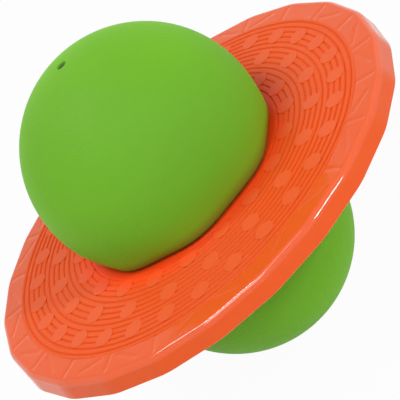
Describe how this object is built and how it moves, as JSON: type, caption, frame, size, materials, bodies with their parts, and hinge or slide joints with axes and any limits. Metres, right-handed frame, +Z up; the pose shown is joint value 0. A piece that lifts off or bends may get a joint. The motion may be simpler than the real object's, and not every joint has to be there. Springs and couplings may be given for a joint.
{
  "type": "hopper ball",
  "caption": "Hollow waisted ball that grips a ring-shaped foot deck with a many-sided rim and a treaded top, stood on and jumped with; a plug closes its air valve.",
  "frame": {"origin": "lower pole of the ball, where it meets the floor when it is stood on", "axes": "+Z up along the ball's axis of symmetry, from the lower lobe to the upper lobe; +X through a corner of the deck's rim and a pad of its outer ring"},
  "size_m": [0.43, 0.43, 0.3339],
  "materials": {
    "ball": "satin soft PVC with a fine grain, leaf green",
    "valve_sleeve": "soft PVC, dark green",
    "valve_plug": "moulded, dark green",
    "deck": "glossy moulding, orange"
  },
  "bodies": {
    "lower_ball": {"lower_lobe": "ball"},
    "upper_ball": {"upper_lobe": "ball", "valve_sleeve": "valve_sleeve"},
    "deck": {"deck": "deck"},
    "valve_plug": {"valve_plug": "valve_plug"}
  },
  "joints": [
    {"name": "bounce", "type": "slide", "parent": "lower_ball", "child": "upper_ball", "axis": [0, 0, -1], "range_m": [0, 0.04], "stiffness_N_per_m": 12000, "springref_m": -0.004, "deforming": ["lower_lobe"]},
    {"name": "deck_twist", "type": "hinge", "parent": "upper_ball", "child": "deck", "pos_m": [0, 0, 0.17926], "axis": [0, 0, 1], "continuous": true},
    {"name": "plug_pull", "type": "slide", "parent": "upper_ball", "child": "valve_plug", "axis": [0, 0, 1], "range_m": [0, 0.018]}
  ]
}
